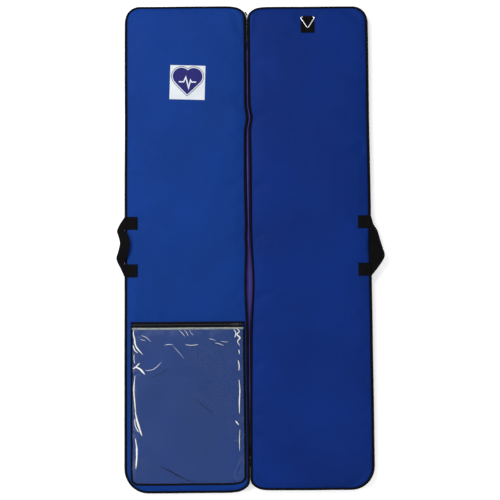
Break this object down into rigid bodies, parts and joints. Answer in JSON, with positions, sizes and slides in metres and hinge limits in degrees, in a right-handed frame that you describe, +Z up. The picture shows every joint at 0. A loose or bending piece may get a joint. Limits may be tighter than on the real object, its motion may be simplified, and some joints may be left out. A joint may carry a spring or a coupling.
{
  "type": "spine board carrying case",
  "caption": "Soft padded carrying case for a long spine board, opened flat like a book, with a clear zipped pocket, webbing handles, a hanging ring and a rim zip.",
  "frame": {"origin": "on the floor under the middle of the spine, centre of the outline of the case laid open", "axes": "+Y along the case towards the end with the label and the ring, +X from the front half to the back half, +Z up, out of the outside faces"},
  "size_m": [1.054, 1.9, 0.061],
  "materials": {
    "blue_nylon": "royal blue coated woven nylon, slight sheen",
    "lining_nylon": "thin dark blue lining nylon",
    "foam": "light grey closed-cell foam",
    "black_piping": "black corded piping",
    "black_binding": "black grosgrain binding",
    "black_webbing": "black woven webbing",
    "zip_tape": "black zip tape",
    "zip_teeth": "black nylon coil teeth",
    "slider_metal": "dark coated zinc",
    "ring_steel": "bright nickel-plated wire",
    "clear_vinyl": "clear flexible vinyl",
    "label_white": "satin white label",
    "label_navy": "navy print",
    "label_grey": "grey print"
  },
  "bodies": {
    "front_half": {"front_foam": "foam", "front_handle_patches": "black_webbing", "front_lining": "lining_nylon", "front_panel": "blue_nylon", "front_piping": "black_piping", "front_spine_strip": "blue_nylon", "front_wall": "blue_nylon", "front_zip_tape": "zip_tape", "front_zip_teeth": "zip_teeth", "label_base": "label_white", "label_outline": "label_grey", "label_pulse": "label_white", "label_symbol": "label_navy", "pocket_binding": "black_binding", "pocket_window": "clear_vinyl", "pocket_zip_stops": "slider_metal", "pocket_zip_tapes": "zip_tape", "pocket_zip_teeth": "zip_teeth", "spine_zip_stops": "slider_metal", "zip_tail": "zip_tape"},
    "back_half": {"back_foam": "foam", "back_handle_patches": "black_webbing", "back_lining": "lining_nylon", "back_panel": "blue_nylon", "back_piping": "black_piping", "back_spine_strip": "blue_nylon", "back_wall": "blue_nylon", "back_zip_tape": "zip_tape", "back_zip_teeth": "zip_teeth", "ring_webbing": "black_webbing"},
    "front_handle": {"front_handle_strap": "black_webbing"},
    "back_handle": {"back_handle_strap": "black_webbing"},
    "ring": {"hang_ring": "ring_steel"},
    "pocket_slider_body": {"pocket_slider": "slider_metal"},
    "pocket_tab_body": {"pocket_pull_tab": "slider_metal"},
    "top_slider_body": {"top_slider": "slider_metal"},
    "top_tab_body": {"top_pull_tab": "slider_metal"},
    "bottom_slider_body": {"bottom_slider": "slider_metal"},
    "bottom_tab_body": {"bottom_pull_tab": "slider_metal"}
  },
  "joints": [
    {"name": "fold", "type": "hinge", "parent": "front_half", "child": "back_half", "pos_m": [0, 0, -0.0002], "axis": [0, 1, 0], "range_deg": [0, 180]},
    {"name": "front_handle_swing", "type": "hinge", "parent": "front_half", "child": "front_handle", "pos_m": [-0.4763, -0.005, 0.0405], "axis": [0, 1, 0], "range_deg": [-45, 90]},
    {"name": "back_handle_swing", "type": "hinge", "parent": "back_half", "child": "back_handle", "pos_m": [0.4763, -0.005, 0.0405], "axis": [0, -1, 0], "range_deg": [-45, 90]},
    {"name": "ring_swing", "type": "hinge", "parent": "back_half", "child": "ring", "pos_m": [0.241, 0.895, 0.04355], "axis": [-1, 0, 0], "range_deg": [0, 170]},
    {"name": "pocket_zip_slide", "type": "slide", "parent": "front_half", "child": "pocket_slider_body", "axis": [-1, 0, 0], "range_m": [0, 0.384]},
    {"name": "pocket_tab_swing", "type": "hinge", "parent": "pocket_slider_body", "child": "pocket_tab_body", "pos_m": [-0.045, -0.305, 0.0468], "axis": [0, 1, 0], "range_deg": [0, 170]},
    {"name": "top_zip_slide", "type": "slide", "parent": "front_half", "child": "top_slider_body", "axis": [0, 1, 0], "range_m": [0, 0.06]},
    {"name": "top_tab_swing", "type": "hinge", "parent": "top_slider_body", "child": "top_tab_body", "pos_m": [0, 0.828, 0.0078], "axis": [1, 0, 0], "range_deg": [0, 170]},
    {"name": "bottom_zip_slide", "type": "slide", "parent": "front_half", "child": "bottom_slider_body", "axis": [0, -1, 0], "range_m": [0, 0.06]},
    {"name": "bottom_tab_swing", "type": "hinge", "parent": "bottom_slider_body", "child": "bottom_tab_body", "pos_m": [0, -0.828, 0.0078], "axis": [-1, 0, 0], "range_deg": [0, 170]}
  ]
}
